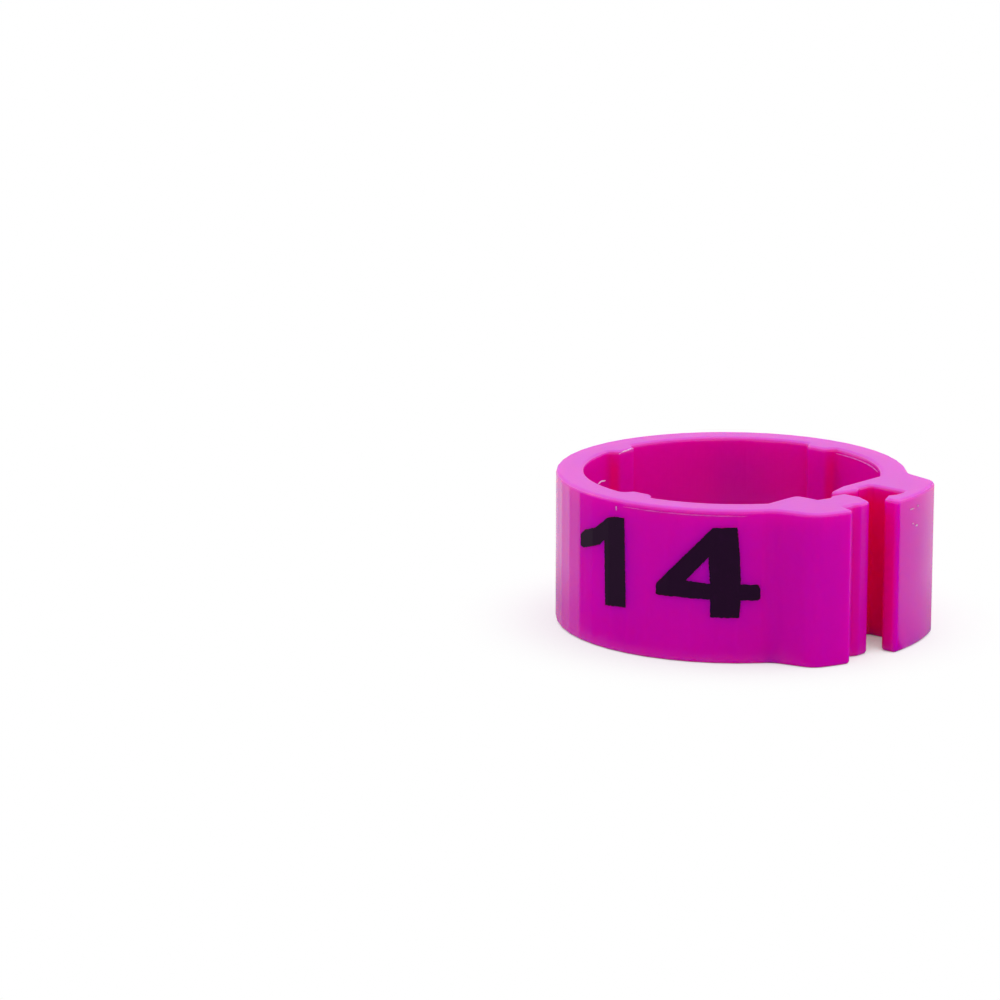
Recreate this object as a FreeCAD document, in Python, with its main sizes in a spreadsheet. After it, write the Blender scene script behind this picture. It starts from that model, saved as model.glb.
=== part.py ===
"""Clip-on leg band for poultry: one springy plastic moulding, modelled as it stands on its rim.

The band is a short open ring. Its outer wall is faceted, its bore has three grip ribs, and its two
ends form a snap clasp on the +X side. The hook end is a block with a barbed slot between an inner and
an outer lip. The tongue end is a block with a barbed tongue that fits the slot. The clasp is modelled
almost closed: the tongue is lined up with the slot but is not pressed home.

Frame in millimetres: the ring axis is Z, the lower rim lies on z = 0 and the clasp is on +X.
"""
import FreeCAD, Part
import math
import os

import Sketcher

# Every size is written once, here. Lengths are in mm and angles in degrees.
SIZES = {
    # the ring
    "bore_radius": 8.0,
    "wall": 1.5,
    "band_height": 8.3,
    "facet_count": 48,
    "rim_round": 0.2,
    # grip ribs in the bore
    "rib_count": 3,
    "rib_first": 90.0,
    "rib_spread": 180.0,
    "rib_width": 1.9,
    "rib_crest": 1.2,
    "rib_rise": 0.6,
    # hook end: the slot and its two lips
    "slot_inner": 7.75,
    "slot_width": 2.35,
    "slot_floor": 2.15,
    "slot_mouth": 0.1,
    "slot_barb": 0.2,
    "slot_barb_place": 0.8,
    "slot_barb_back": 0.4,
    "slot_flare": 0.35,
    "inner_lip": 0.9,
    "outer_lip": 1.02,
    "lip_taper": 0.8,
    "lip_reach": 0.55,
    "lip_tip": 0.42,
    # tongue end: the tongue, the catch floor inside it and the tooth outside it
    "clasp_play": 0.04,
    "tongue_top": 0.42,
    "tongue_flat": 1.1,
    "tongue_fall": 0.5,
    "tongue_barb": 0.2,
    "tongue_barb_back": 0.4,
    "inner_barb_place": 1.3,
    "outer_barb_place": 1.65,
    "catch_land": 1.45,
    "catch_floor": 2.42,
    "tooth_top": 2.85,
    "tooth_fall": 0.25,
    # the outside of both clasp ends
    "root_flats": 5,
    "root_round": 1.5,
    "flank_lean": 13.5,
    # corners seen from above; a tip's round is larger than the rim's by tip_extra
    "shoulder_round": 1.2,
    "tip_extra": 0.03,
    "slot_round": 0.25,
    "catch_round": 0.5,
    "rib_round": 0.3,
}
SHEET = "Sizes"
CLASP_MARGIN = 0.3  # how far the clasp ends reach past the cut ends of the ring wall


def add_sheet(doc):
    """Write the sizes into a spreadsheet, one aliased cell to each size."""
    sheet = doc.addObject("Spreadsheet::Sheet", SHEET)
    for row, (name, value) in enumerate(SIZES.items(), start=1):
        sheet.set(f"A{row}", name)
        sheet.set(f"B{row}", str(value))
        sheet.setAlias(f"B{row}", name)
    doc.recompute()


def size(name):
    """Name a size the way an expression refers to its cell."""
    return f"{SHEET}.{name}"


def slot_outer():
    """Give the distance of the slot's outer wall from the YZ plane, as an expression."""
    return f"({size('slot_inner')} + {size('slot_width')})"


def clasp_radius():
    """Give the radius of the outer arc of both clasp ends, as an expression."""
    return f"({slot_outer()} + {size('outer_lip')})"


def origin_plane(body, role):
    """Find one of the body's own origin planes by its role."""
    return next(item for item in body.Origin.OriginFeatures if item.Role == role)


def add_sketch(body, name):
    """Add an empty sketch on the body's XY plane, which is the plane of the lower rim."""
    sketch = body.newObject("Sketcher::SketchObject", name)
    sketch.AttachmentSupport = [(origin_plane(body, "XY_Plane"), "")]
    sketch.MapMode = "FlatFace"
    return sketch


def bind(sketch, constraint, name, expression):
    """Add a named constraint to the sketch and drive it with an expression."""
    index = sketch.addConstraint(constraint)
    sketch.renameConstraint(index, name)
    sketch.setExpression(f"Constraints.{name}", expression)


def evaluate(sketch, expression):
    """Work out an expression as a plain number."""
    return float(sketch.evalExpression(expression))


def spot_of(sketch, corner):
    """Work out the place of a corner given as a pair of expressions."""
    x, y = corner
    return FreeCAD.Vector(evaluate(sketch, x), evaluate(sketch, y), 0)


def draw_outline(sketch, corners, arcs=None):
    """Draw a closed outline, anticlockwise, through named corners given as pairs of expressions.

    arcs maps the name of a corner to the radius, an expression, of an outward arc about the ring axis
    from that corner to the next one. Every other stretch is straight. Returns the place of each corner.
    """
    arcs = arcs or {}
    spots = {name: spot_of(sketch, corner) for name, corner in corners.items()}
    names = list(corners)
    edges = []
    for name, following in zip(names, names[1:] + names[:1]):
        if name in arcs:
            edges.append(draw_arc(sketch, name, spots[name], spots[following], arcs[name]))
        else:
            edges.append(sketch.addGeometry(Part.LineSegment(spots[name], spots[following]), False))
    for index, name in enumerate(names):
        edge, previous, spot, (x, y) = edges[index], edges[index - 1], spots[name], corners[name]
        sketch.addConstraint(Sketcher.Constraint("Coincident", previous, 2, edge, 1))
        bind(sketch, Sketcher.Constraint("DistanceX", -1, 1, edge, 1, spot.x), f"{name}_x", x)
        bind(sketch, Sketcher.Constraint("DistanceY", -1, 1, edge, 1, spot.y), f"{name}_y", y)
    return spots


def draw_arc(sketch, name, start, finish, expression):
    """Draw an anticlockwise arc about the ring axis and bind its radius to an expression."""
    radius = evaluate(sketch, expression)
    angles = [math.atan2(spot.y, spot.x) for spot in (start, finish)]
    circle = Part.Circle(FreeCAD.Vector(), FreeCAD.Vector(0, 0, 1), radius)
    index = sketch.addGeometry(Part.ArcOfCircle(circle, *angles), False)
    bind(sketch, Sketcher.Constraint("Radius", index, radius), f"{name}_radius", expression)
    return index


def draw_circle(sketch, name, expression):
    """Draw a full circle about the ring axis and bind its radius to an expression."""
    radius = evaluate(sketch, expression)
    circle = Part.Circle(FreeCAD.Vector(), FreeCAD.Vector(0, 0, 1), radius)
    index = sketch.addGeometry(circle, False)
    sketch.addConstraint(Sketcher.Constraint("Coincident", index, 3, -1, 1))
    bind(sketch, Sketcher.Constraint("Radius", index, radius), name, expression)


def add_pad(body, name, sketch):
    """Raise a sketch to the full height of the band."""
    pad = body.newObject("PartDesign::Pad", name)
    pad.Profile = sketch
    pad.setExpression("Length", size("band_height"))
    body.Document.recompute()
    return pad


def add_pocket(body, name, sketch):
    """Cut a sketch up through the full height of the band, and check that it removed material."""
    before = body.Shape.Volume
    pocket = body.newObject("PartDesign::Pocket", name)
    pocket.Profile = sketch
    pocket.Reversed = True
    pocket.setExpression("Length", size("band_height"))
    body.Document.recompute()
    if not pocket.Shape.Volume < before:
        raise RuntimeError(f"{name} removed nothing")


def upright_edges(shape, spots):
    """List the names of the vertical edges that stand on the given spots."""
    names = []
    for number, edge in enumerate(shape.Edges, start=1):
        foot, head = edge.Vertexes[0].Point, edge.Vertexes[-1].Point
        vertical = math.hypot(foot.x - head.x, foot.y - head.y) < 1e-4
        if vertical and any(math.hypot(foot.x - spot.x, foot.y - spot.y) < 1e-3 for spot in spots):
            names.append(f"Edge{number}")
    return names


def round_corners(body, name, spots, radius):
    """Round the vertical edges that stand on the given spots. radius is an expression."""
    base = body.Tip
    edges = upright_edges(base.Shape, spots)
    if len(edges) != len(spots):
        raise RuntimeError(f"{name} found {len(edges)} of {len(spots)} edges")
    fillet = body.newObject("PartDesign::Fillet", name)
    fillet.Base = (base, edges)
    fillet.setExpression("Radius", radius)
    body.Document.recompute()


def round_rims(body):
    """Round every edge of both rims, along the outer wall, the bore and the clasp."""
    base, height = body.Tip, SIZES["band_height"]
    rims = [f"Face{number}" for number, face in enumerate(base.Shape.Faces, start=1)
            if face.BoundBox.ZLength < height / 2
            and min(abs(face.CenterOfMass.z), abs(face.CenterOfMass.z - height)) < 1e-4]
    fillet = body.newObject("PartDesign::Fillet", "RimRounds")
    fillet.Base = (base, rims)
    fillet.setExpression("Radius", size("rim_round"))
    body.Document.recompute()


def add_ring(body):
    """Build the faceted outer wall and cut the round bore through it."""
    wall = body.newObject("PartDesign::AdditivePrism", "FacetedWall")
    wall.AttachmentSupport = [(origin_plane(body, "XY_Plane"), "")]
    wall.MapMode = "FlatFace"
    wall.setExpression(".AttachmentOffset.Rotation.Angle", f"180 deg / {size('facet_count')}")
    wall.setExpression("Polygon", size("facet_count"))
    wall.setExpression("Circumradius", f"{size('bore_radius')} + {size('wall')}")
    wall.setExpression("Height", size("band_height"))
    body.Document.recompute()
    bore = add_sketch(body, "BoreOutline")
    draw_circle(bore, "bore", size("bore_radius"))
    add_pocket(body, "Bore", bore)


def add_opening(body):
    """Cut the ring wall away between the places where the two clasp ends will stand."""
    near, far = size("bore_radius"), f"{clasp_radius()} + {size('wall')}"
    top = f"{size('slot_floor')} + {CLASP_MARGIN}"
    bottom = f"-max({size('catch_floor')}; {size('tooth_top')}) - {CLASP_MARGIN}"
    sketch = add_sketch(body, "OpeningOutline")
    draw_outline(sketch, {
        "inner_bottom": (f"{near} / 2", bottom),
        "outer_bottom": (far, bottom),
        "outer_top": (far, top),
        "inner_top": (f"{near} / 2", top),
    })
    add_pocket(body, "ClaspOpening", sketch)


def flank(side):
    """Give the corners of the outside of a clasp end, as expressions. side is "" or "-".

    The flank is a straight line that starts inside the ring wall, leaves it in the middle of a flat
    and leans away from the ring until it meets the outer arc at the shoulder.
    """
    flats = f"(({size('bore_radius')} + {size('wall')}) * cos(180 deg / {size('facet_count')}))"
    angle = f"({size('root_flats')} * 360 deg / {size('facet_count')})"
    along, across = f"cos({size('flank_lean')} * 1 deg)", f"sin({size('flank_lean')} * 1 deg)"
    root_x, root_y = f"({flats} * cos({angle}))", f"({flats} * sin({angle}))"
    inward = f"({root_y} * {across} - {root_x} * {along})"
    offset = f"({root_x} * {across} + {root_y} * {along})"
    run = f"({inward} + sqrt({clasp_radius()} ^ 2 - {offset} ^ 2))"
    sunk = f"({size('wall')} / 2)"
    return {
        "shoulder": (f"{root_x} + {run} * {along}", f"{side}({root_y} - {run} * {across})"),
        "root": (root_x, f"{side}{root_y}"),
        "sunk": (f"{root_x} - {sunk} * {along}", f"{side}({root_y} + {sunk} * {across})"),
    }


def wall_root(face, side):
    """Give the spot inside the ring wall where the inner face of a clasp end starts."""
    middle = f"({size('bore_radius')} + {size('wall')} / 2)"
    return face, f"{side}sqrt({middle} ^ 2 - ({face}) ^ 2)"


def add_hook(body):
    """Add the hook end: an inner lip, a barbed slot and an outer lip."""
    inner, outer = size("slot_inner"), slot_outer()
    barb, place, back = size("slot_barb"), size("slot_barb_place"), size("slot_barb_back")
    face, mouth, reach = f"({inner} - {size('inner_lip')})", size("slot_mouth"), f"-{size('lip_reach')}"
    edge = flank("")
    tip_outer = f"{inner} + {barb} - {size('slot_flare')}"
    corners = {
        "inner_root": wall_root(face, ""),
        "lip_taper": (face, size("lip_taper")),
        "lip_tip_inner": (f"{tip_outer} - {size('lip_tip')}", reach),
        "lip_tip_outer": (tip_outer, reach),
        "inner_barb": (f"{inner} + {barb}", place),
        "inner_barb_back": (inner, f"{place} + {back}"),
        "floor_inner": (inner, size("slot_floor")),
        "floor_outer": (outer, size("slot_floor")),
        "outer_barb_back": (outer, f"{place} + {back}"),
        "outer_barb": (f"{outer} - {barb}", place),
        "mouth": (f"{outer} - {barb} + {size('slot_flare')}", mouth),
        "hook_tip": (f"sqrt({clasp_radius()} ^ 2 - {mouth} ^ 2)", mouth),
        "shoulder": edge["shoulder"],
        "sunk": edge["sunk"],
    }
    sketch = add_sketch(body, "HookOutline")
    spots = draw_outline(sketch, corners, {"hook_tip": clasp_radius()})
    add_pad(body, "HookEnd", sketch)
    return spots | {"root": spot_of(sketch, edge["root"])}


def add_tongue(body):
    """Add the tongue end: the catch floor, the barbed tongue and the outer tooth.

    The tips of the tongue's barbs clear the walls of the slot by the play of the clasp.
    """
    inner = f"({size('slot_inner')} + {size('clasp_play')})"
    outer = f"({slot_outer()} - {size('clasp_play')})"
    barb, back = size("tongue_barb"), size("tongue_barb_back")
    inner_place, outer_place = size("inner_barb_place"), size("outer_barb_place")
    top, floor = size("tongue_top"), size("catch_floor")
    tooth = f"({size('tooth_top')} + {size('tooth_fall')})"
    catch = f"({inner} - {size('catch_land')})"
    edge = flank("-")
    corners = {
        "sunk": edge["sunk"],
        "shoulder": edge["shoulder"],
        "tooth": (f"sqrt({clasp_radius()} ^ 2 - {tooth} ^ 2)", f"-{tooth}"),
        "tooth_root": (f"{outer} - {barb}", f"-{size('tooth_top')}"),
        "outer_barb_back": (f"{outer} - {barb}", f"-{outer_place} - {back}"),
        "outer_barb": (outer, f"-{outer_place}"),
        "tongue_outer": (outer, f"-{top} - {size('tongue_fall')}"),
        "tongue_crest": (f"{inner} + {barb} + {size('tongue_flat')}", f"-{top}"),
        "tongue_inner": (f"{inner} + {barb}", f"-{top}"),
        "inner_barb": (inner, f"-{inner_place}"),
        "inner_barb_back": (f"{inner} + {barb}", f"-{inner_place} - {back}"),
        "catch_root": (inner, f"-{floor}"),
        "catch": (catch, f"-{floor}"),
        "inner_root": wall_root(catch, "-"),
    }
    sketch = add_sketch(body, "TongueOutline")
    spots = draw_outline(sketch, corners, {"shoulder": clasp_radius()})
    add_pad(body, "TongueEnd", sketch)
    return spots | {"root": spot_of(sketch, edge["root"])}


def add_ribs(body):
    """Add the grip ribs that keep the bore off the leg. Returns the corners of all of them."""
    bore, wall = size("bore_radius"), size("wall")
    base, crest = f"({size('rib_width')} / 2)", f"({size('rib_crest')} / 2)"
    foot, reach = f"sqrt({bore} ^ 2 - {base} ^ 2)", f"({bore} - {size('rib_rise')})"
    corners = {
        "sunk_low": (f"{bore} + {wall} / 2", f"-{base}"),
        "sunk_high": (f"{bore} + {wall} / 2", base),
        "foot_high": (foot, base),
        "crest_high": (reach, crest),
        "crest_low": (reach, f"-{crest}"),
        "foot_low": (foot, f"-{base}"),
    }
    sketch = add_sketch(body, "RibOutline")
    sketch.setExpression(".AttachmentOffset.Rotation.Angle", size("rib_first"))
    spots = draw_outline(sketch, corners)
    rib = add_pad(body, "Rib", sketch)
    ribs = body.newObject("PartDesign::PolarPattern", "Ribs")
    ribs.Originals = [rib]
    ribs.Axis = (sketch, ["N_Axis"])
    ribs.setExpression("Angle", size("rib_spread"))
    ribs.setExpression("Occurrences", size("rib_count"))
    body.Tip = ribs
    body.Document.recompute()
    step = SIZES["rib_spread"] / max(SIZES["rib_count"] - 1, 1)
    turns = [FreeCAD.Rotation(FreeCAD.Vector(0, 0, 1), SIZES["rib_first"] + step * index)
             for index in range(SIZES["rib_count"])]
    return {part: [turn.multVec(spots[f"{part}_{side}"]) for turn in turns for side in ("low", "high")]
            for part in ("foot", "crest")}


def check(doc, parts):
    """Stop if any object failed to build, or if any part has no valid solid."""
    for item in doc.Objects:
        if {"Invalid", "Error"} & set(item.State):
            raise RuntimeError(f"{item.Name} failed: {item.State}")
    for part in parts:
        if part.Shape.isNull() or not part.Shape.isValid() or len(part.Shape.Solids) != 1:
            raise RuntimeError(f"{part.Label} is not one valid solid")


def main():
    """Build the band, check it and write its STEP file."""
    doc = FreeCAD.newDocument("leg_band")
    add_sheet(doc)
    body = doc.addObject("PartDesign::Body", "Band")
    body.Label = "band"
    add_ring(body)
    add_opening(body)
    hook = add_hook(body)
    tongue = add_tongue(body)
    ribs = add_ribs(body)
    tips = [hook[name] for name in ("lip_tip_inner", "lip_tip_outer", "mouth", "hook_tip")]
    tips += [tongue[name] for name in ("tongue_inner", "tongue_outer", "outer_barb", "tooth")]
    round_corners(body, "TipRounds", tips, f"{size('rim_round')} + {size('tip_extra')}")
    round_corners(body, "CatchRound", [tongue["catch"]], size("catch_round"))
    round_corners(body, "ShoulderRounds", [hook["shoulder"], tongue["shoulder"]], size("shoulder_round"))
    round_corners(body, "RootRounds", [hook["root"], tongue["root"]], size("root_round"))
    round_corners(body, "SlotRounds", [hook["floor_inner"], hook["floor_outer"]], size("slot_round"))
    round_corners(body, "RibCrests", ribs["crest"], size("rib_round"))
    round_corners(body, "RibFeet", ribs["foot"], size("rib_round"))
    round_rims(body)
    check(doc, [body])
    os.makedirs("parts", exist_ok=True)
    body.Shape.exportStep("parts/band.step")


main()
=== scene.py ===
"""Looks of a clip-on poultry leg band: one dyed plastic moulding with a number printed on it twice.

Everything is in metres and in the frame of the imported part. The ring's axis is Z, the lower rim lies on
z = 0 and the clasp is on +X. A place on the outer wall is a turn about Z from the clasp and a height.
"""

import logging
import math
from dataclasses import dataclass
from enum import Enum

import bmesh
import bpy
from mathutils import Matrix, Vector


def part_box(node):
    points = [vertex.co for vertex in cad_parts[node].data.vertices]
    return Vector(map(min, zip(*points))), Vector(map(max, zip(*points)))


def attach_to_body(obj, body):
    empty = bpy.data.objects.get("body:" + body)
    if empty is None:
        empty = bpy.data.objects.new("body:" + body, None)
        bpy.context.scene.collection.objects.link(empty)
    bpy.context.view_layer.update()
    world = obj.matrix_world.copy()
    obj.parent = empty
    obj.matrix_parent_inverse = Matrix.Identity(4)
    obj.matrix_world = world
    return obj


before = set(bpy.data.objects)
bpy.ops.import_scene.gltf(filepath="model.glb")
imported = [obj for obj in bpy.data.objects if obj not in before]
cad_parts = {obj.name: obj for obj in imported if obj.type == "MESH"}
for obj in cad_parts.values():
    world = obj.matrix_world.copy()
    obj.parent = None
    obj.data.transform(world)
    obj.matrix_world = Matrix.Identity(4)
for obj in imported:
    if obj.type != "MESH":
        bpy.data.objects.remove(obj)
LOG = logging.getLogger("leg_band")
MM = 0.001
NODE = "band"
BODY = "root"
WELD = 1e-7

# The Mix node has sockets of the same name for every kind of value, so those for colours go by number.
SHARE, COLOUR_A, COLOUR_B, MIXED = 0, 6, 7, 2

Spot = tuple[float, float]
Span = tuple[float, float]


def linear(colour: str) -> tuple[float, float, float, float]:
    """Turn an sRGB hex colour into the linear values that a shader socket takes.

    Args:
        colour: Six hex digits after a hash sign.

    Returns:
        Red, green, blue and an alpha of one.
    """
    channels = [int(colour[start:start + 2], 16) / 255 for start in (1, 3, 5)]
    curve = [c / 12.92 if c <= 0.04045 else ((c + 0.055) / 1.055) ** 2.4 for c in channels]
    return (*curve, 1.0)


def add_node(tree: bpy.types.NodeTree, kind: str, inputs: dict | None = None,
             links: dict | None = None, **settings: object) -> bpy.types.Node:
    """Add one node with its settings, its input values and its incoming links.

    Args:
        tree: The shader or geometry tree that gets the node.
        kind: The node's type name.
        inputs: Values by socket name or number.
        links: Output sockets of other nodes by the name or number of the socket that they feed.
        settings: Attributes of the node.

    Returns:
        The new node.
    """
    node = tree.nodes.new(kind)
    for name, value in settings.items():
        setattr(node, name, value)
    for socket, value in (inputs or {}).items():
        node.inputs[socket].default_value = value
    for socket, source in (links or {}).items():
        tree.links.new(source, node.inputs[socket])
    return node


def new_material(name: str) -> tuple[bpy.types.Material, bpy.types.NodeTree]:
    """Make an empty node material.

    Args:
        name: What the real material is called.

    Returns:
        The material and its empty node tree.
    """
    material = bpy.data.materials.new(name)
    material.use_nodes = True
    material.node_tree.nodes.clear()
    return material, material.node_tree


def in_millimetres(tree: bpy.types.NodeTree, drawn_out: float = 1.0) -> bpy.types.NodeSocket:
    """Read Object coordinates in millimetres.

    Args:
        tree: The material's node tree.
        drawn_out: The share of Z that is kept, where less than one draws a pattern out upwards.

    Returns:
        The vector socket.
    """
    place = add_node(tree, "ShaderNodeTexCoord").outputs["Object"]
    return add_node(tree, "ShaderNodeMapping", {"Scale": (1 / MM, 1 / MM, drawn_out / MM)},
                    {"Vector": place}).outputs[0]


def ramp(tree: bpy.types.NodeTree, value: bpy.types.NodeSocket, over: Span = (0.0, 1.0),
         to: Span = (0.0, 1.0)) -> bpy.types.NodeSocket:
    """Map a span of values evenly onto another one and hold it at both ends.

    Args:
        tree: The tree that gets the node.
        value: The value that is mapped.
        over: The values at which the ramp starts and ends.
        to: What it gives at its start and at its end.

    Returns:
        The mapped value.
    """
    return add_node(tree, "ShaderNodeMapRange", {
        "From Min": over[0], "From Max": over[1], "To Min": to[0], "To Max": to[1]},
        {"Value": value}).outputs[0]


def calculate(tree: bpy.types.NodeTree, operation: str,
              *operands: bpy.types.NodeSocket | float) -> bpy.types.NodeSocket:
    """Calculate with plain values.

    Args:
        tree: The tree that gets the node.
        operation: The name of the Math node's operation.
        operands: Its sockets or numbers, in order.

    Returns:
        The result.
    """
    node = add_node(tree, "ShaderNodeMath", operation=operation)
    for socket, operand in zip(node.inputs, operands):
        if isinstance(operand, bpy.types.NodeSocket):
            tree.links.new(operand, socket)
        else:
            socket.default_value = operand
    return node.outputs[0]


def mix_colours(tree: bpy.types.NodeTree, share: bpy.types.NodeSocket, first: str | bpy.types.NodeSocket,
                second: str) -> bpy.types.NodeSocket:
    """Mix two colours.

    Args:
        tree: The tree that gets the node.
        share: The second colour's share.
        first: The first colour, as sRGB hex or as a socket.
        second: The second colour, as sRGB hex.

    Returns:
        The mixed colour.
    """
    node = add_node(tree, "ShaderNodeMix", {COLOUR_B: linear(second)}, {SHARE: share}, data_type="RGBA")
    if isinstance(first, str):
        node.inputs[COLOUR_A].default_value = linear(first)
    else:
        tree.links.new(first, node.inputs[COLOUR_A])
    return node.outputs[MIXED]


@dataclass(frozen=True)
class Principled:
    """The plain numbers of a Principled BSDF, set on its own sockets."""

    roughness: float
    ior: float
    specular_tint: str = "#FFFFFF"
    subsurface: float = 0.0
    subsurface_radius: tuple[float, float, float] = (1.0, 0.2, 0.1)
    subsurface_mm: float = 0.0

    def add(self, tree: bpy.types.NodeTree, links: dict) -> None:
        """Add the shader and the material output.

        Args:
            tree: The material's node tree.
            links: What feeds the shader's linked sockets, such as its colour and normal.
        """
        shader = add_node(tree, "ShaderNodeBsdfPrincipled", {
            "Roughness": self.roughness,
            "IOR": self.ior,
            "Specular Tint": linear(self.specular_tint),
            "Subsurface Weight": self.subsurface,
            "Subsurface Radius": self.subsurface_radius,
            "Subsurface Scale": self.subsurface_mm * MM,
        }, links)
        add_node(tree, "ShaderNodeOutputMaterial", links={"Surface": shader.outputs[0]})


@dataclass(frozen=True)
class MouldedPolypropylene:
    """Magenta-dyed polypropylene, injection moulded.

    It gives a polished upright wall that mirrors the paper beside it, a rougher spark-eroded rim, fine
    upright draw lines and a few pale specks. Upward faces are paler, partly from the rim's matt finish and
    partly as painted sheen from the light above. A red glow is painted into sheltered places, standing in for
    light that has come through the wall, and is kept back just under the open rim as painted light falling in
    from above.
    Real draw lines and real grain are too fine to show in the render, so both are drawn as coarse as they
    need to be.
    """

    colour: str = "#DC00C2"
    cloud: str = "#D400BA"
    cloud_mm: float = 5.0
    # Paler colour of upward faces: partly the eroded rim's matt finish, partly painted sheen from the light
    # above.
    rim_sheen_colour: str = "#D838CF"
    rim_rise: Span = (0.35, 0.8)
    rim_roughness: float = 0.45
    # Painted glow: red painted into sheltered places, standing in for light that comes through the wall; it
    # is kept back just under the upper rim as painted light from above.
    painted_glow: str = "#F40086"
    painted_glow_reach_mm: float = 11.0
    painted_glow_samples: int = 12
    painted_glow_openness: Span = (1.0, 0.35)
    painted_glow_under_mm: Span = (8.2, 7.3)
    painted_glow_at_rim: float = 0.3
    speck: str = "#F0A8E0"
    speck_spacing_mm: float = 2.6
    speck_mm: float = 0.045
    speck_core: float = 0.4
    edge_mm: float = 0.22
    edge_samples: int = 6
    relief_mm: float = 0.012
    draw_line_mm: float = 0.22
    draw_line_strength: float = 0.9
    drawn_out: float = 0.04
    grain_mm: float = 0.12
    grain_strength: Span = (0.2, 1.0)
    shell: Principled = Principled(roughness=0.2, ior=1.49, subsurface=1.0,
                                   subsurface_radius=(1.0, 0.04, 0.22), subsurface_mm=2.6)

    def build(self) -> bpy.types.Material:
        """Build the material from its real sizes."""
        material, tree = new_material("polypropylene_magenta_moulded")
        in_mm = in_millimetres(tree)
        facing = add_node(tree, "ShaderNodeNewGeometry").outputs["True Normal"]
        rise = add_node(tree, "ShaderNodeSeparateXYZ", links={0: facing}).outputs["Z"]
        rim = ramp(tree, rise, self.rim_rise)
        self.shell.add(tree, {"Base Color": self.body_colour(tree, in_mm, rim),
                              "Normal": self.relief(tree, in_mm, rim),
                              "Roughness": ramp(tree, rim, to=(self.shell.roughness, self.rim_roughness))})
        return material

    def body_colour(self, tree: bpy.types.NodeTree, in_mm: bpy.types.NodeSocket,
                    rim: bpy.types.NodeSocket) -> bpy.types.NodeSocket:
        """Mix the dye's slight clouds, the paler rim, which is partly its matt finish and partly painted
        sheen from the light above, the red glow painted into sheltered places, and the specks.

        Args:
            tree: The material's node tree.
            in_mm: Object coordinates in millimetres.
            rim: How far the surface faces upwards, from none to all of the way.

        Returns:
            The colour socket.
        """
        clouds = add_node(tree, "ShaderNodeTexNoise", {"Scale": 1 / self.cloud_mm, "Detail": 3.0},
                          {"Vector": in_mm})
        dye = mix_colours(tree, clouds.outputs["Fac"], self.colour, self.cloud)
        # Upward faces turn paler: partly the matt finish, partly painted sheen from the light above.
        with_rim_sheen = mix_colours(tree, rim, dye, self.rim_sheen_colour)
        # Painted glow: red painted where ambient occlusion finds the plastic sheltered, standing in for light
        # that comes through the wall.
        shelter = add_node(tree, "ShaderNodeAmbientOcclusion", {"Distance": self.painted_glow_reach_mm * MM},
                           samples=self.painted_glow_samples, only_local=True)
        depth = ramp(tree, shelter.outputs["AO"], self.painted_glow_openness)
        # The painted glow is kept back just under the upper rim, as painted light falling in from above.
        height = add_node(tree, "ShaderNodeSeparateXYZ", links={0: in_mm}).outputs["Z"]
        under = ramp(tree, height, self.painted_glow_under_mm, (self.painted_glow_at_rim, 1.0))
        with_painted_glow = mix_colours(tree, calculate(tree, "MULTIPLY", depth, under), with_rim_sheen, self.painted_glow)
        cells = add_node(tree, "ShaderNodeTexVoronoi", {"Scale": 1 / self.speck_spacing_mm},
                         {"Vector": in_mm})
        reach = self.speck_mm / self.speck_spacing_mm
        near = ramp(tree, cells.outputs["Distance"], (reach, self.speck_core * reach))
        return mix_colours(tree, near, with_painted_glow, self.speck)

    def relief(self, tree: bpy.types.NodeTree, in_mm: bpy.types.NodeSocket,
               rim: bpy.types.NodeSocket) -> bpy.types.NodeSocket:
        """Bump the surface with the mould's draw lines and its fine spark-eroded grain.

        Args:
            tree: The material's node tree.
            in_mm: Object coordinates in millimetres.
            rim: How far the surface faces upwards, from none to all of the way.

        Returns:
            The normal socket.
        """
        lines = add_node(tree, "ShaderNodeTexNoise", {"Scale": 1 / self.draw_line_mm, "Detail": 4.0},
                         {"Vector": in_millimetres(tree, self.drawn_out)})
        softened = add_node(tree, "ShaderNodeBevel", {"Radius": self.edge_mm * MM},
                            samples=self.edge_samples)
        drawn = add_node(tree, "ShaderNodeBump", {"Strength": self.draw_line_strength,
                                                  "Distance": self.relief_mm * MM},
                         {"Height": lines.outputs["Fac"], "Normal": softened.outputs[0]})
        grain = add_node(tree, "ShaderNodeTexNoise", {"Scale": 1 / self.grain_mm, "Detail": 2.0},
                         {"Vector": in_mm})
        return add_node(tree, "ShaderNodeBump", {"Distance": self.relief_mm * MM},
                        {"Height": grain.outputs["Fac"], "Normal": drawn.outputs[0],
                         "Strength": ramp(tree, rim, to=self.grain_strength)}).outputs[0]


@dataclass(frozen=True)
class PrintingInk:
    """Black solvent ink, pad printed on the wall and dried.

    It gives a dense satin black that is a little thin in places, where the magenta tints it. The film's
    real skin is too fine to show in the render, so it is drawn as coarse as it needs to be.
    """

    black: str = "#251028"
    thin: str = "#2C1030"
    blotch_mm: float = 0.5
    thin_from: Span = (0.55, 0.95)
    skin_mm: float = 0.07
    skin_strength: float = 0.3
    skin_depth_mm: float = 0.006
    film: Principled = Principled(roughness=0.6, ior=1.48, specular_tint="#6C3470")

    def build(self) -> bpy.types.Material:
        """Build the material from its real sizes."""
        material, tree = new_material("solvent_ink_black_printed")
        in_mm = in_millimetres(tree)
        blotches = add_node(tree, "ShaderNodeTexNoise", {"Scale": 1 / self.blotch_mm, "Detail": 5.0},
                            {"Vector": in_mm})
        colour = mix_colours(tree, ramp(tree, blotches.outputs["Fac"], self.thin_from), self.black, self.thin)
        skin = add_node(tree, "ShaderNodeTexNoise", {"Scale": 1 / self.skin_mm, "Detail": 2.0},
                        {"Vector": in_mm})
        relief = add_node(tree, "ShaderNodeBump", {"Strength": self.skin_strength,
                                                   "Distance": self.skin_depth_mm * MM},
                          {"Height": skin.outputs["Fac"]})
        self.film.add(tree, {"Base Color": colour, "Normal": relief.outputs[0]})
        return material


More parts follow.
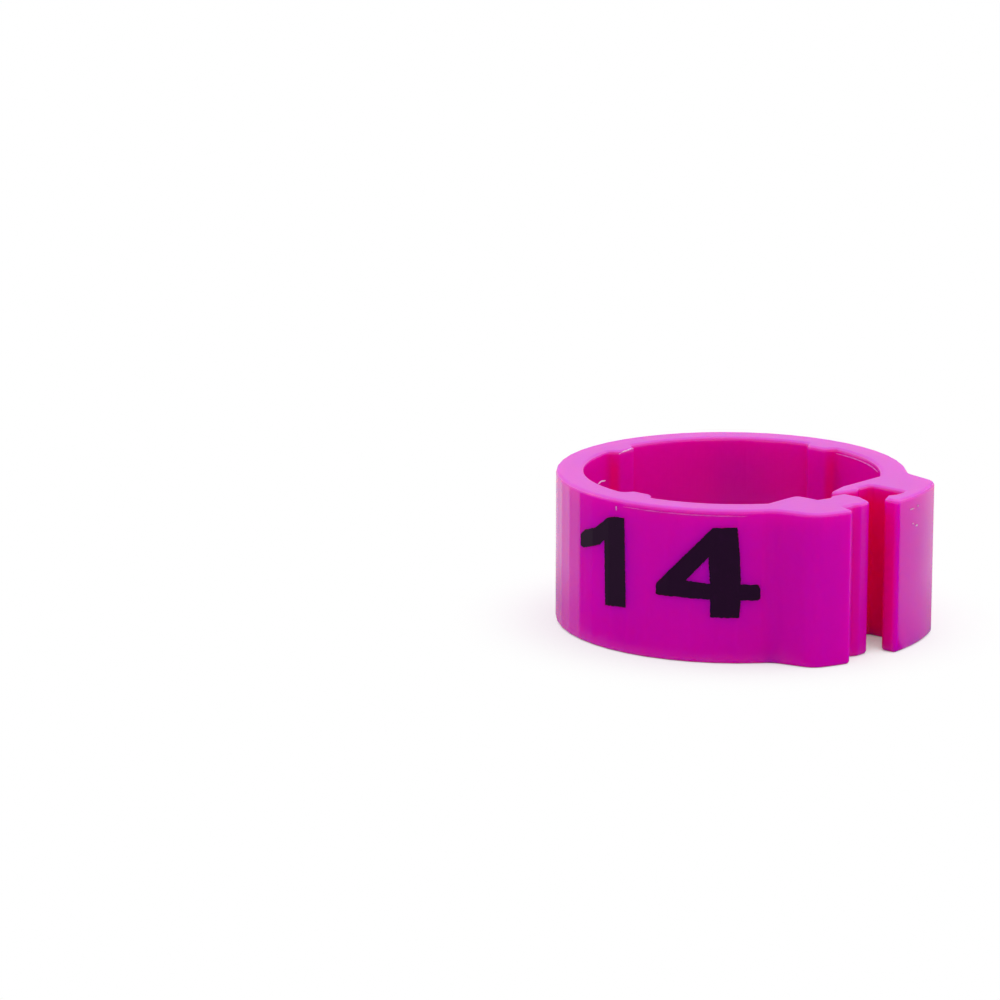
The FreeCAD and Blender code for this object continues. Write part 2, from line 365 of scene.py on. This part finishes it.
@dataclass(frozen=True)
class TornPlastic:
    """The same polypropylene where it was torn, scuffed or squeezed out between the mould's halves.

    Torn polypropylene turns pale and matt, with darker pits between the raised fibres.
    """

    name: str = "polypropylene_magenta_torn"
    pale: str = "#F2A6E6"
    pit: str = "#D040BC"
    pit_from: Span = (0.58, 0.38)
    fibre_mm: float = 0.16
    fibre_strength: float = 0.7
    fibre_height_mm: float = 0.03
    shell: Principled = Principled(roughness=0.6, ior=1.49, subsurface=0.4,
                                   subsurface_radius=(1.0, 0.3, 0.6), subsurface_mm=0.3)

    def build(self) -> bpy.types.Material:
        """Build the material from its real sizes."""
        material, tree = new_material(self.name)
        fibres = add_node(tree, "ShaderNodeTexNoise", {"Scale": 1 / self.fibre_mm, "Detail": 4.0},
                          {"Vector": in_millimetres(tree)})
        colour = mix_colours(tree, ramp(tree, fibres.outputs["Fac"], self.pit_from), self.pale, self.pit)
        relief = add_node(tree, "ShaderNodeBump", {"Strength": self.fibre_strength,
                                                   "Distance": self.fibre_height_mm * MM},
                          {"Height": fibres.outputs["Fac"]})
        self.shell.add(tree, {"Base Color": colour, "Normal": relief.outputs[0]})
        return material


@dataclass(frozen=True)
class PaperEdge:
    """A soft edge between white and dim paper, which runs out from an apex on the floor.

    The apex lies under the place on the band where the mirrored paper changes, the turn is the edge's
    direction about Z and soft its width, both in degrees.
    """

    apex_mm: Spot
    turn: float
    soft: float
    white_beyond: bool

    def build(self, tree: bpy.types.NodeTree, place: bpy.types.NodeSocket) -> bpy.types.NodeSocket:
        """Find how white the paper is on this edge's account.

        Args:
            tree: The material's node tree.
            place: Object coordinates.

        Returns:
            One on the white side of the edge and zero on the dim side.
        """
        apex = (self.apex_mm[0] * MM, self.apex_mm[1] * MM, 0.0)
        turned = add_node(tree, "ShaderNodeMapping", {"Location": apex,
                                                      "Rotation": (0.0, 0.0, math.radians(self.turn))},
                          {"Vector": place}, vector_type="TEXTURE")
        share = add_node(tree, "ShaderNodeTexGradient", links={"Vector": turned.outputs[0]},
                         gradient_type="RADIAL")
        return ramp(tree, share.outputs["Fac"], (0.5 - self.soft / 360, 0.5 + self.soft / 360),
                    (0.0, 1.0) if self.white_beyond else (1.0, 0.0))


@dataclass(frozen=True)
class StudioPaper:
    """Seamless white paper under and behind the object.

    The camera sees it white a little way off, with the object's soft shadow on it close by and in its
    crevices. In reflections it is bright behind the object and on both sides, where the light falls, duller
    close to the object, dim in front, and as the light leaves it inside the ring.
    """

    sheet: str = "#E6E6E6"
    seen: str = "#FFFFFF"
    lift: float = 0.62
    crevice_lift: float = 0.1
    crevice_mm: float = 4.0
    crevice_samples: int = 8
    crevice_openness: Span = (0.15, 0.45)
    shadow_mm: Span = (9.5, 16.0)
    ring_mm: Span = (9.0, 11.5)
    shade_mm: Span = (9.0, 20.0)
    shade: float = 0.3
    bright: float = 0.87
    dim: float = 0.05
    right: PaperEdge = PaperEdge((11.0, 1.0), 52.5, 2.5, True)
    left: PaperEdge = PaperEdge((-2.5, -9.2), 187.0, 9.0, False)

    def build(self) -> bpy.types.Material:
        """Build the material, whiter to the camera than to the object."""
        material, tree = new_material("paper_white_seamless")
        rays = add_node(tree, "ShaderNodeLightPath").outputs
        place = add_node(tree, "ShaderNodeTexCoord").outputs["Object"]
        away = add_node(tree, "ShaderNodeVectorMath", {1: (1 / MM,) * 3}, {0: place}, operation="MULTIPLY")
        away = add_node(tree, "ShaderNodeVectorMath", links={0: away.outputs[0]},
                        operation="LENGTH").outputs["Value"]
        surface = add_node(tree, "ShaderNodeMixShader", links={
            0: calculate(tree, "MULTIPLY", calculate(tree, "MAXIMUM", rays["Is Glossy Ray"],
                                                     rays["Is Transmission Ray"]),
                         ramp(tree, away, self.ring_mm)),
            1: self.as_seen(tree, rays, away), 2: self.as_mirrored(tree, place, away)})
        add_node(tree, "ShaderNodeOutputMaterial", links={"Surface": surface.outputs[0]})
        return material

    def as_seen(self, tree: bpy.types.NodeTree, rays: bpy.types.bpy_prop_collection,
                away: bpy.types.NodeSocket) -> bpy.types.NodeSocket:
        """Shade the paper for the camera: white a little way off, and lit by the lamps near the object.

        Args:
            tree: The material's node tree.
            rays: The outputs that tell which kind of ray sees the paper.
            away: How far the place is from the ring's axis, in millimetres.

        Returns:
            The shader.
        """
        colour = mix_colours(tree, rays["Is Camera Ray"], self.sheet, self.seen)
        paper = add_node(tree, "ShaderNodeBsdfDiffuse", links={"Color": colour})
        white = add_node(tree, "ShaderNodeEmission", {"Strength": 1.0})
        open_sky = add_node(tree, "ShaderNodeAmbientOcclusion", {"Distance": self.crevice_mm * MM},
                            samples=self.crevice_samples)
        close_by = ramp(tree, open_sky.outputs["AO"], self.crevice_openness, (self.crevice_lift, self.lift))
        cleared = add_node(tree, "ShaderNodeMapRange", {"From Min": self.shadow_mm[0],
                                                        "From Max": self.shadow_mm[1]},
                           {"Value": away, "To Min": close_by}, interpolation_type="SMOOTHSTEP")
        lifted = calculate(tree, "MULTIPLY", cleared.outputs[0], rays["Is Camera Ray"])
        return add_node(tree, "ShaderNodeMixShader",
                        links={0: lifted, 1: paper.outputs[0], 2: white.outputs[0]}).outputs[0]

    def as_mirrored(self, tree: bpy.types.NodeTree, place: bpy.types.NodeSocket,
                    away: bpy.types.NodeSocket) -> bpy.types.NodeSocket:
        """Shade the paper for reflections: white between its two edges, dim beyond them, duller close by.

        Args:
            tree: The material's node tree.
            place: Object coordinates.
            away: How far the place is from the ring's axis, in millimetres.

        Returns:
            The shader.
        """
        lit = calculate(tree, "MULTIPLY", self.right.build(tree, place), self.left.build(tree, place))
        shine = calculate(tree, "MULTIPLY", ramp(tree, lit, to=(self.dim, 1.0)),
                          ramp(tree, away, self.shade_mm, (self.shade, self.bright)))
        return add_node(tree, "ShaderNodeEmission", links={"Strength": shine}).outputs[0]


@dataclass(frozen=True)
class Finishes:
    """The object's built materials."""

    plastic: bpy.types.Material
    ink: bpy.types.Material
    torn: bpy.types.Material
    scuffed: bpy.types.Material
    witness_and_highlight: bpy.types.Material

    @classmethod
    def build(cls) -> "Finishes":
        """Build every material once. A scuff is paler than a tear, and a witness line is nearly smooth, with
        a pale colour that is partly painted highlight along the raised line.
        """
        scuffed = TornPlastic("polypropylene_magenta_scuffed", pale="#FFDCF8", pit="#E680D6")
        # The witness line's pale colour is partly a painted highlight along the raised parting line.
        witness_and_highlight = TornPlastic("polypropylene_magenta_witness_line", pale="#F06CDC", pit="#DA3CC4",
                              fibre_mm=0.4)
        return cls(MouldedPolypropylene().build(), PrintingInk().build(), TornPlastic().build(),
                   scuffed.build(), witness_and_highlight.build())


@dataclass(frozen=True)
class Wall:
    """What the pieces on the outer wall need to know of it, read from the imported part."""

    surface: bpy.types.Object
    radius: float
    height: float

    @classmethod
    def from_frame(cls) -> "Wall":
        """Read the wall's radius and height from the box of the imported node."""
        low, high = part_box(NODE)
        return cls(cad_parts[NODE], -low[0], high[2] - low[2])


def wrapping_tree() -> bpy.types.NodeTree:
    """Build the Geometry Nodes tree that lays a thin flat shape on the outer wall.

    The shape lies flat in XY, with X along the wall and Y up it. The tree frays its edges, gives it a
    thickness, and drops each point onto the wall along a line to the ring's axis.

    Returns:
        The tree, with its sizes as named inputs.
    """
    tree = bpy.data.node_groups.new("lay_on_wall", "GeometryNodeTree")
    tree.interface.new_socket("Geometry", in_out="INPUT", socket_type="NodeSocketGeometry")
    tree.interface.new_socket("Wall", in_out="INPUT", socket_type="NodeSocketObject")
    tree.interface.new_socket("Finish", in_out="INPUT", socket_type="NodeSocketMaterial")
    for name in ("Turn", "Height", "Radius", "Thickness", "Sunk", "Fray", "Fray Size", "Swell"):
        tree.interface.new_socket(name, in_out="INPUT", socket_type="NodeSocketFloat")
    tree.interface.new_socket("Geometry", in_out="OUTPUT", socket_type="NodeSocketGeometry")
    given = add_node(tree, "NodeGroupInput").outputs

    # The flat shape becomes a closed slab with frayed edges.
    where = add_node(tree, "GeometryNodeInputPosition").outputs[0]
    scale = calculate(tree, "DIVIDE", 1.0, given["Fray Size"])
    frayed = add_node(tree, "ShaderNodeTexNoise", {"Detail": 2.0}, {"Vector": where, "Scale": scale})
    centred = add_node(tree, "ShaderNodeVectorMath", {1: (0.5, 0.5, 0.5)},
                       {0: frayed.outputs["Color"]}, operation="SUBTRACT")
    shift = add_node(tree, "ShaderNodeVectorMath", links={0: centred.outputs[0], "Scale": given["Fray"]},
                     operation="SCALE")
    level = add_node(tree, "ShaderNodeVectorMath", {1: (1.0, 1.0, 0.0)}, {0: shift.outputs[0]},
                     operation="MULTIPLY")
    ragged = add_node(tree, "GeometryNodeSetPosition", links={"Geometry": given["Geometry"],
                                                              "Offset": level.outputs[0]})
    raised = add_node(tree, "GeometryNodeExtrudeMesh", {"Offset": (0.0, 0.0, 1.0), "Individual": False},
                      {"Mesh": ragged.outputs[0], "Offset Scale": given["Thickness"]}, mode="FACES")
    under = add_node(tree, "GeometryNodeFlipFaces", links={"Mesh": ragged.outputs[0]})
    both = add_node(tree, "GeometryNodeJoinGeometry", links={0: raised.outputs["Mesh"]})
    tree.links.new(under.outputs[0], both.inputs[0])
    closed = add_node(tree, "GeometryNodeMergeByDistance", {"Distance": WELD}, {0: both.outputs[0]})

    # Each point of the slab is dropped onto the wall from outside, and its top face may swell.
    spot = add_node(tree, "ShaderNodeSeparateXYZ", links={0: where}).outputs
    swelling = add_node(tree, "ShaderNodeTexNoise", {"Detail": 3.0}, {"Vector": where, "Scale": scale})
    angle = calculate(tree, "ADD", calculate(tree, "DIVIDE", spot["X"], given["Radius"]), given["Turn"])
    outward = add_node(tree, "ShaderNodeCombineXYZ", links={"X": calculate(tree, "COSINE", angle),
                                                            "Y": calculate(tree, "SINE", angle)})
    reach = calculate(tree, "MULTIPLY", given["Radius"], 2.0)
    far = add_node(tree, "ShaderNodeVectorMath", links={0: outward.outputs[0], "Scale": reach},
                   operation="SCALE")
    lifted = add_node(tree, "ShaderNodeCombineXYZ",
                      links={"Z": calculate(tree, "ADD", spot["Y"], given["Height"])})
    start = add_node(tree, "ShaderNodeVectorMath", links={0: far.outputs[0], 1: lifted.outputs[0]},
                     operation="ADD")
    inward = add_node(tree, "ShaderNodeVectorMath", {"Scale": -1.0}, {0: outward.outputs[0]},
                      operation="SCALE")
    target = add_node(tree, "GeometryNodeObjectInfo", links={"Object": given["Wall"]})
    landing = add_node(tree, "GeometryNodeRaycast", links={
        "Target Geometry": target.outputs["Geometry"], "Source Position": start.outputs[0],
        "Ray Direction": inward.outputs[0], "Ray Length": reach})
    swell = calculate(tree, "MULTIPLY", swelling.outputs["Fac"], given["Swell"])
    crust = calculate(tree, "MULTIPLY", swell, calculate(tree, "GREATER_THAN", spot["Z"], 0.0))
    proud = calculate(tree, "ADD", calculate(tree, "SUBTRACT", spot["Z"], given["Sunk"]), crust)
    stand = add_node(tree, "ShaderNodeVectorMath", links={0: outward.outputs[0], "Scale": proud},
                     operation="SCALE")
    place = add_node(tree, "ShaderNodeVectorMath", links={0: landing.outputs["Hit Position"],
                                                          1: stand.outputs[0]}, operation="ADD")
    laid = add_node(tree, "GeometryNodeSetPosition", links={"Geometry": closed.outputs[0],
                                                            "Position": place.outputs[0]})
    real = add_node(tree, "GeometryNodeRealizeInstances", links={0: laid.outputs[0]})
    dressed = add_node(tree, "GeometryNodeSetMaterial", links={"Geometry": real.outputs[0],
                                                               "Material": given["Finish"]})
    add_node(tree, "NodeGroupOutput", links={0: dressed.outputs[0]})
    return tree


def flat_shape(name: str, rims: list[list[Spot]], longest: float) -> bpy.types.Mesh:
    """Fill outlines with small flat triangles, facing +Z.

    Args:
        name: The mesh's name.
        rims: The outer outline, then any holes, as corners in millimetres.
        longest: The longest edge that is left, in metres.

    Returns:
        The flat mesh.
    """
    grid = bmesh.new()
    edges = []
    for rim in rims:
        corners = [grid.verts.new((x * MM, y * MM, 0.0)) for x, y in rim]
        edges += [grid.edges.new((corners[index - 1], corner)) for index, corner in enumerate(corners)]
    bmesh.ops.triangle_fill(grid, edges=edges, use_beauty=True, normal=(0.0, 0.0, 1.0))
    long_edges = [edge for edge in grid.edges if edge.calc_length() > longest]
    while long_edges:
        bmesh.ops.subdivide_edges(grid, edges=long_edges, cuts=1)
        bmesh.ops.triangulate(grid, faces=grid.faces[:])
        bmesh.ops.beautify_fill(grid, faces=grid.faces[:], edges=grid.edges[:])
        long_edges = [edge for edge in grid.edges if edge.calc_length() > longest]
    for face in grid.faces:
        if face.normal.z < 0:
            face.normal_flip()
    mesh = bpy.data.meshes.new(name)
    grid.to_mesh(mesh)
    grid.free()
    return mesh


def oval(length: float, width: float, corners: int) -> list[Spot]:
    """Give the corners of an oval about its middle.

    Args:
        length: The oval's length along X.
        width: Its width along Y.
        corners: How many corners it has.

    Returns:
        The corners, in the unit of the length and the width.
    """
    turns = [2 * math.pi * step / corners for step in range(corners)]
    return [(length / 2 * math.cos(turn), width / 2 * math.sin(turn)) for turn in turns]


def plain_piece(name: str, source: bpy.types.Object) -> bpy.types.Object:
    """Replace an object by a plain mesh of what it shows.

    Args:
        name: The piece's name.
        source: The new object, with its modifiers or its curve. It is removed.

    Returns:
        The piece, at the origin.
    """
    bpy.context.collection.objects.link(source)
    seen = source.evaluated_get(bpy.context.evaluated_depsgraph_get())
    piece = bpy.data.objects.new(name, bpy.data.meshes.new_from_object(seen))
    bpy.data.objects.remove(source)
    bpy.context.collection.objects.link(piece)
    return piece


@dataclass
class LaidPiece:
    """A thin piece that lies on the outer wall."""

    name: str
    rims: list[list[Spot]]
    finish: bpy.types.Material
    turn: float
    height: float
    thickness: float
    sunk: float
    fray: float
    fray_size: float
    swell: float = 0.0
    longest: float = 0.11 * MM

    def build(self, wall: Wall, tree: bpy.types.NodeTree) -> bpy.types.Object:
        """Lay the piece on the wall and keep the result as a plain mesh.

        Args:
            wall: The outer wall.
            tree: The tree that lays a flat shape on it.

        Returns:
            The finished piece, at the origin.
        """
        flat = bpy.data.objects.new(f"{self.name}_flat", flat_shape(self.name, self.rims, self.longest))
        modifier = flat.modifiers.new("lay", "NODES")
        modifier.node_group = tree
        values = {"Wall": wall.surface, "Finish": self.finish, "Turn": self.turn, "Height": self.height,
                  "Radius": wall.radius, "Thickness": self.thickness, "Sunk": self.sunk,
                  "Fray": self.fray, "Fray Size": self.fray_size, "Swell": self.swell}
        for socket in tree.interface.items_tree:
            if socket.in_out == "INPUT" and socket.name in values:
                modifier[socket.identifier] = values[socket.name]
        return plain_piece(self.name, flat)


class Digit(Enum):
    """Heavy upright figures, as outlines in millimetres from the middle of the number's baseline."""

    ONE = [[(-5.50, 2.78), (-5.22, 2.72), (-3.85, 3.15), (-3.46, 3.50), (-3.37, -0.04), (-1.92, 0.08),
            (-2.06, 4.90), (-2.72, 4.87), (-3.24, 4.74), (-4.14, 4.05), (-5.14, 3.72), (-5.52, 3.38)]]
    FOUR = [[(-0.10, 1.06), (2.87, 1.01), (2.88, 0.05), (4.40, 0.05), (4.48, 1.00), (5.36, 0.99),
             (5.50, 1.08), (5.50, 1.60), (5.40, 1.83), (4.47, 1.86), (4.40, 3.46), (4.26, 4.92),
             (2.96, 4.86), (-0.08, 1.66)],
            [(1.58, 1.98), (2.86, 1.86), (2.76, 3.28)]]


class PrintPlace(Enum):
    """Where the number is printed, as turns about the ring from the clasp in degrees."""

    FRONT = -74.8
    BACK = 107.0


@dataclass
class PrintedNumber:
    """The plain number on the outer wall, printed twice so that it can be read from both sides."""

    baseline: float = 2.45 * MM
    film: float = 0.02 * MM
    sunk: float = 0.008 * MM
    fray: float = 0.12 * MM
    fray_size: float = 0.1 * MM
    longest: float = 0.075 * MM

    def build(self, wall: Wall, tree: bpy.types.NodeTree, finishes: Finishes) -> list[bpy.types.Object]:
        """Lay every digit of both prints on the wall.

        Args:
            wall: The outer wall.
            tree: The tree that lays a flat shape on it.
            finishes: The object's materials.

        Returns:
            One piece for each digit.
        """
        return [
            LaidPiece(f"print_{place.name.lower()}_{digit.name.lower()}", digit.value, finishes.ink,
                      math.radians(place.value), self.baseline, self.film, self.sunk, self.fray,
                      self.fray_size, longest=self.longest).build(wall, tree)
            for place in PrintPlace for digit in Digit
        ]


@dataclass
class GateScar:
    """The rough oval where the moulding was broken off its runner."""

    turn: float = math.radians(155.0)
    width_mm: float = 1.75
    depth_mm: float = 1.05
    corners: int = 28
    stub: float = 0.03 * MM
    sunk: float = 0.04 * MM
    fray: float = 0.25 * MM
    fray_size: float = 0.3 * MM
    swell: float = 0.1 * MM
    longest: float = 0.06 * MM

    def build(self, wall: Wall, tree: bpy.types.NodeTree, finishes: Finishes) -> list[bpy.types.Object]:
        """Lay the scar on the wall, halfway up.

        Args:
            wall: The outer wall.
            tree: The tree that lays a flat shape on it.
            finishes: The object's materials.

        Returns:
            The scar, as a list of one piece.
        """
        rim = oval(self.width_mm, self.depth_mm, self.corners)
        scar = LaidPiece("gate_scar", [rim], finishes.torn, self.turn, wall.height / 2, self.stub,
                         self.sunk, self.fray, self.fray_size, self.swell, self.longest)
        return [scar.build(wall, tree)]


class Mark(Enum):
    """Small marks on the outer wall: turn in degrees, height, length along the wall and width up it in mm."""

    # The parting line is a raised thread whose pale colour is partly painted highlight.
    PARTING_LINE = (-66.8, 7.965, 7.0, 0.045)
    ABOVE_ONE = (-90.6, 7.80, 0.07, 0.24)
    HOOK_HIGH = (8.0, 7.58, 0.40, 0.05)
    HOOK_CORNER = (11.3, 7.62, 0.16, 0.08)
    HOOK_CHIP = (8.6, 6.76, 0.14, 0.06)
    HOOK_CHIP_LOW = (10.8, 6.58, 0.20, 0.09)


@dataclass
class WallMarks:
    """The parting line under the front rim and the flecks where the plastic was nicked."""

    stand: float = 0.02 * MM
    sunk: float = 0.012 * MM
    fray: float = 0.06 * MM
    fray_size: float = 0.12 * MM
    corners: int = 24

    def build(self, wall: Wall, tree: bpy.types.NodeTree, finishes: Finishes) -> list[bpy.types.Object]:
        """Lay every mark on the wall.

        Args:
            wall: The outer wall.
            tree: The tree that lays a flat shape on it.
            finishes: The object's materials.

        Returns:
            One piece for each mark.
        """
        pieces = []
        for mark in Mark:
            turn, height, length, width = mark.value
            finish = finishes.witness_and_highlight if mark is Mark.PARTING_LINE else finishes.scuffed
            piece = LaidPiece(f"mark_{mark.name.lower()}", [oval(length, width, self.corners)], finish,
                              math.radians(turn), height * MM, self.stand, self.sunk, self.fray,
                              self.fray_size)
            pieces.append(piece.build(wall, tree))
        return pieces


class Shred(Enum):
    """Shreds in the bore: turns in degrees, then distances from the axis and heights over the rim in mm."""

    FLASH_CURL = ((-112.6, 8.12, -0.06), (-113.0, 7.98, 0.02), (-113.3, 7.82, 0.10), (-112.8, 7.72, 0.10),
                  (-112.5, 7.64, 0.14))
    FLASH_RIB = ((-174.5, 7.42, -0.16), (-177.0, 7.36, -0.06), (-179.5, 7.40, -0.08), (178.0, 7.36, -0.02),
                 (176.0, 7.44, -0.06))
    # The bore's parting line is a raised thread whose pale colour is partly painted highlight.
    PARTING_LINE_BORE = tuple((turn, 7.99, -0.31) for turn in (84.0, 76.0, 68.0, 60.0, 52.0, 46.0))


@dataclass
class MouldFlash:
    """Thin shreds of plastic left along the mould's parting edges, as tubes that taper to their ends."""

    shred_mm: float = 0.035
    tip: float = 0.35

    def build(self, wall: Wall, finishes: Finishes) -> list[bpy.types.Object]:
        """Make every shred.

        Args:
            wall: The outer wall.
            finishes: The object's materials.

        Returns:
            One piece for each shred.
        """
        return [self.draw(shred, wall.height / MM,
                          finishes.witness_and_highlight if shred is Shred.PARTING_LINE_BORE else finishes.scuffed)
                for shred in Shred]

    def draw(self, shred: Shred, rim: float, finish: bpy.types.Material) -> bpy.types.Object:
        """Make one shred.

        Args:
            shred: Which shred it is.
            rim: The upper rim's height in millimetres.
            finish: The shred's material.

        Returns:
            The shred as a mesh.
        """
        name, points = shred.name.lower(), shred.value
        curve = bpy.data.curves.new(name, "CURVE")
        curve.dimensions = "3D"
        curve.bevel_depth = self.shred_mm * MM
        curve.bevel_resolution = 2
        curve.use_fill_caps = True
        line = curve.splines.new("NURBS")
        line.points.add(len(points) - 1)
        for point, (turn, reach, height) in zip(line.points, points):
            angle = math.radians(turn)
            point.co = (reach * math.cos(angle) * MM, reach * math.sin(angle) * MM, (rim + height) * MM, 1.0)
        line.points[0].radius = line.points[-1].radius = self.tip
        line.order_u = 3
        line.use_endpoint_u = True
        piece = plain_piece(name, bpy.data.objects.new(f"{name}_line", curve))
        piece.data.materials.clear()
        piece.data.materials.append(finish)
        return piece


@dataclass
class Moulding:
    """The band itself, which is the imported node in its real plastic."""

    def dress(self, wall: Wall, finishes: Finishes) -> None:
        """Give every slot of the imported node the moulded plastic.

        Args:
            wall: The outer wall, which is part of the node.
            finishes: The object's materials.
        """
        for slot in wall.surface.material_slots:
            slot.material = finishes.plastic


class Lamp(Enum):
    """Square soft lamps: where each hangs and how wide it is in metres, and its power in watts."""

    TOP = ((0.02, 0.05, 0.34), 0.30, 0.40)
    LEFT = ((-0.30, -0.10, 0.16), 0.24, 0.16)
    RIGHT = ((0.22, 0.26, 0.18), 0.24, 0.16)


@dataclass
class LightTent:
    """White paper and soft white light on every side, as for a small product."""

    paper: StudioPaper
    paper_half: float = 1.5
    fill: float = 0.66

    def build(self) -> None:
        """Lay the paper, hang the lamps and set the world."""
        self.lay_paper()
        for lamp in Lamp:
            self.hang(lamp)
        self.light_world()

    def lay_paper(self) -> None:
        """Make the paper that the object stands on."""
        half = self.paper_half
        mesh = bpy.data.meshes.new("paper")
        mesh.from_pydata([(-half, -half, 0), (half, -half, 0), (half, half, 0), (-half, half, 0)], [],
                         [(0, 1, 2, 3)])
        mesh.materials.append(self.paper.build())
        floor = bpy.data.objects.new("paper", mesh)
        bpy.context.collection.objects.link(floor)

    def hang(self, lamp: Lamp) -> None:
        """Hang one lamp so that it points at the object.

        Args:
            lamp: Which lamp it is.
        """
        name = f"lamp_{lamp.name.lower()}"
        place, width, power = lamp.value
        light = bpy.data.lights.new(name, "AREA")
        light.size = width
        light.energy = power
        holder = bpy.data.objects.new(name, light)
        holder.location = place
        holder.rotation_euler = (-Vector(place)).to_track_quat("-Z", "Y").to_euler()
        bpy.context.collection.objects.link(holder)

    def light_world(self) -> None:
        """Light the object evenly, and show white to the camera and in reflections."""
        world = bpy.data.worlds.new("light_tent")
        world.use_nodes = True
        tree = world.node_tree
        tree.nodes.clear()
        rays = add_node(tree, "ShaderNodeLightPath").outputs
        seen = calculate(tree, "MAXIMUM", rays["Is Camera Ray"], rays["Is Glossy Ray"])
        seen = calculate(tree, "MAXIMUM", seen, rays["Is Transmission Ray"])
        sky = add_node(tree, "ShaderNodeBackground", {"Color": (1.0, 1.0, 1.0, 1.0)},
                       {"Strength": ramp(tree, seen, to=(self.fill, 1.0))})
        add_node(tree, "ShaderNodeOutputWorld", links={"Surface": sky.outputs[0]})
        bpy.context.scene.world = world


@dataclass
class PhotoCamera:
    """The camera of the photograph, found by fitting its lens and place to the ring's rims."""

    place: tuple[float, float, float] = (0.14392, -0.17856, 0.06105)
    azimuth: float = math.radians(42.0)
    down: float = math.radians(13.3785)
    lens_mm: float = 156.42
    sensor_mm: float = 36.0
    nearest: float = 0.01
    farthest: float = 10.0

    def build(self) -> None:
        """Make the camera and use it."""
        data = bpy.data.cameras.new("camera")
        data.lens = self.lens_mm
        data.sensor_width = self.sensor_mm
        data.clip_start = self.nearest
        data.clip_end = self.farthest
        camera = bpy.data.objects.new("camera", data)
        camera.location = self.place
        camera.rotation_euler = (math.pi / 2 - self.down, 0.0, self.azimuth)
        bpy.context.collection.objects.link(camera)
        bpy.context.scene.camera = camera


def attach(piece: bpy.types.Object) -> None:
    """Make a piece ride on the part's one body, and log how many faces it has."""
    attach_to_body(piece, BODY)
    LOG.info("%s: %d faces", piece.name, len(piece.data.polygons))


def main() -> None:
    """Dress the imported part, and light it."""
    logging.basicConfig(level=logging.INFO, format="%(name)s: %(message)s")
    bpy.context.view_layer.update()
    finishes = Finishes.build()
    wall = Wall.from_frame()
    Moulding().dress(wall, finishes)
    tree = wrapping_tree()
    pieces = PrintedNumber().build(wall, tree, finishes)
    pieces += GateScar().build(wall, tree, finishes)
    pieces += WallMarks().build(wall, tree, finishes)
    pieces += MouldFlash().build(wall, finishes)
    for piece in pieces:
        attach(piece)
    LightTent(StudioPaper()).build()
    PhotoCamera().build()
    bpy.context.scene.view_settings.view_transform = "Standard"


if __name__ == "__main__":
    main()
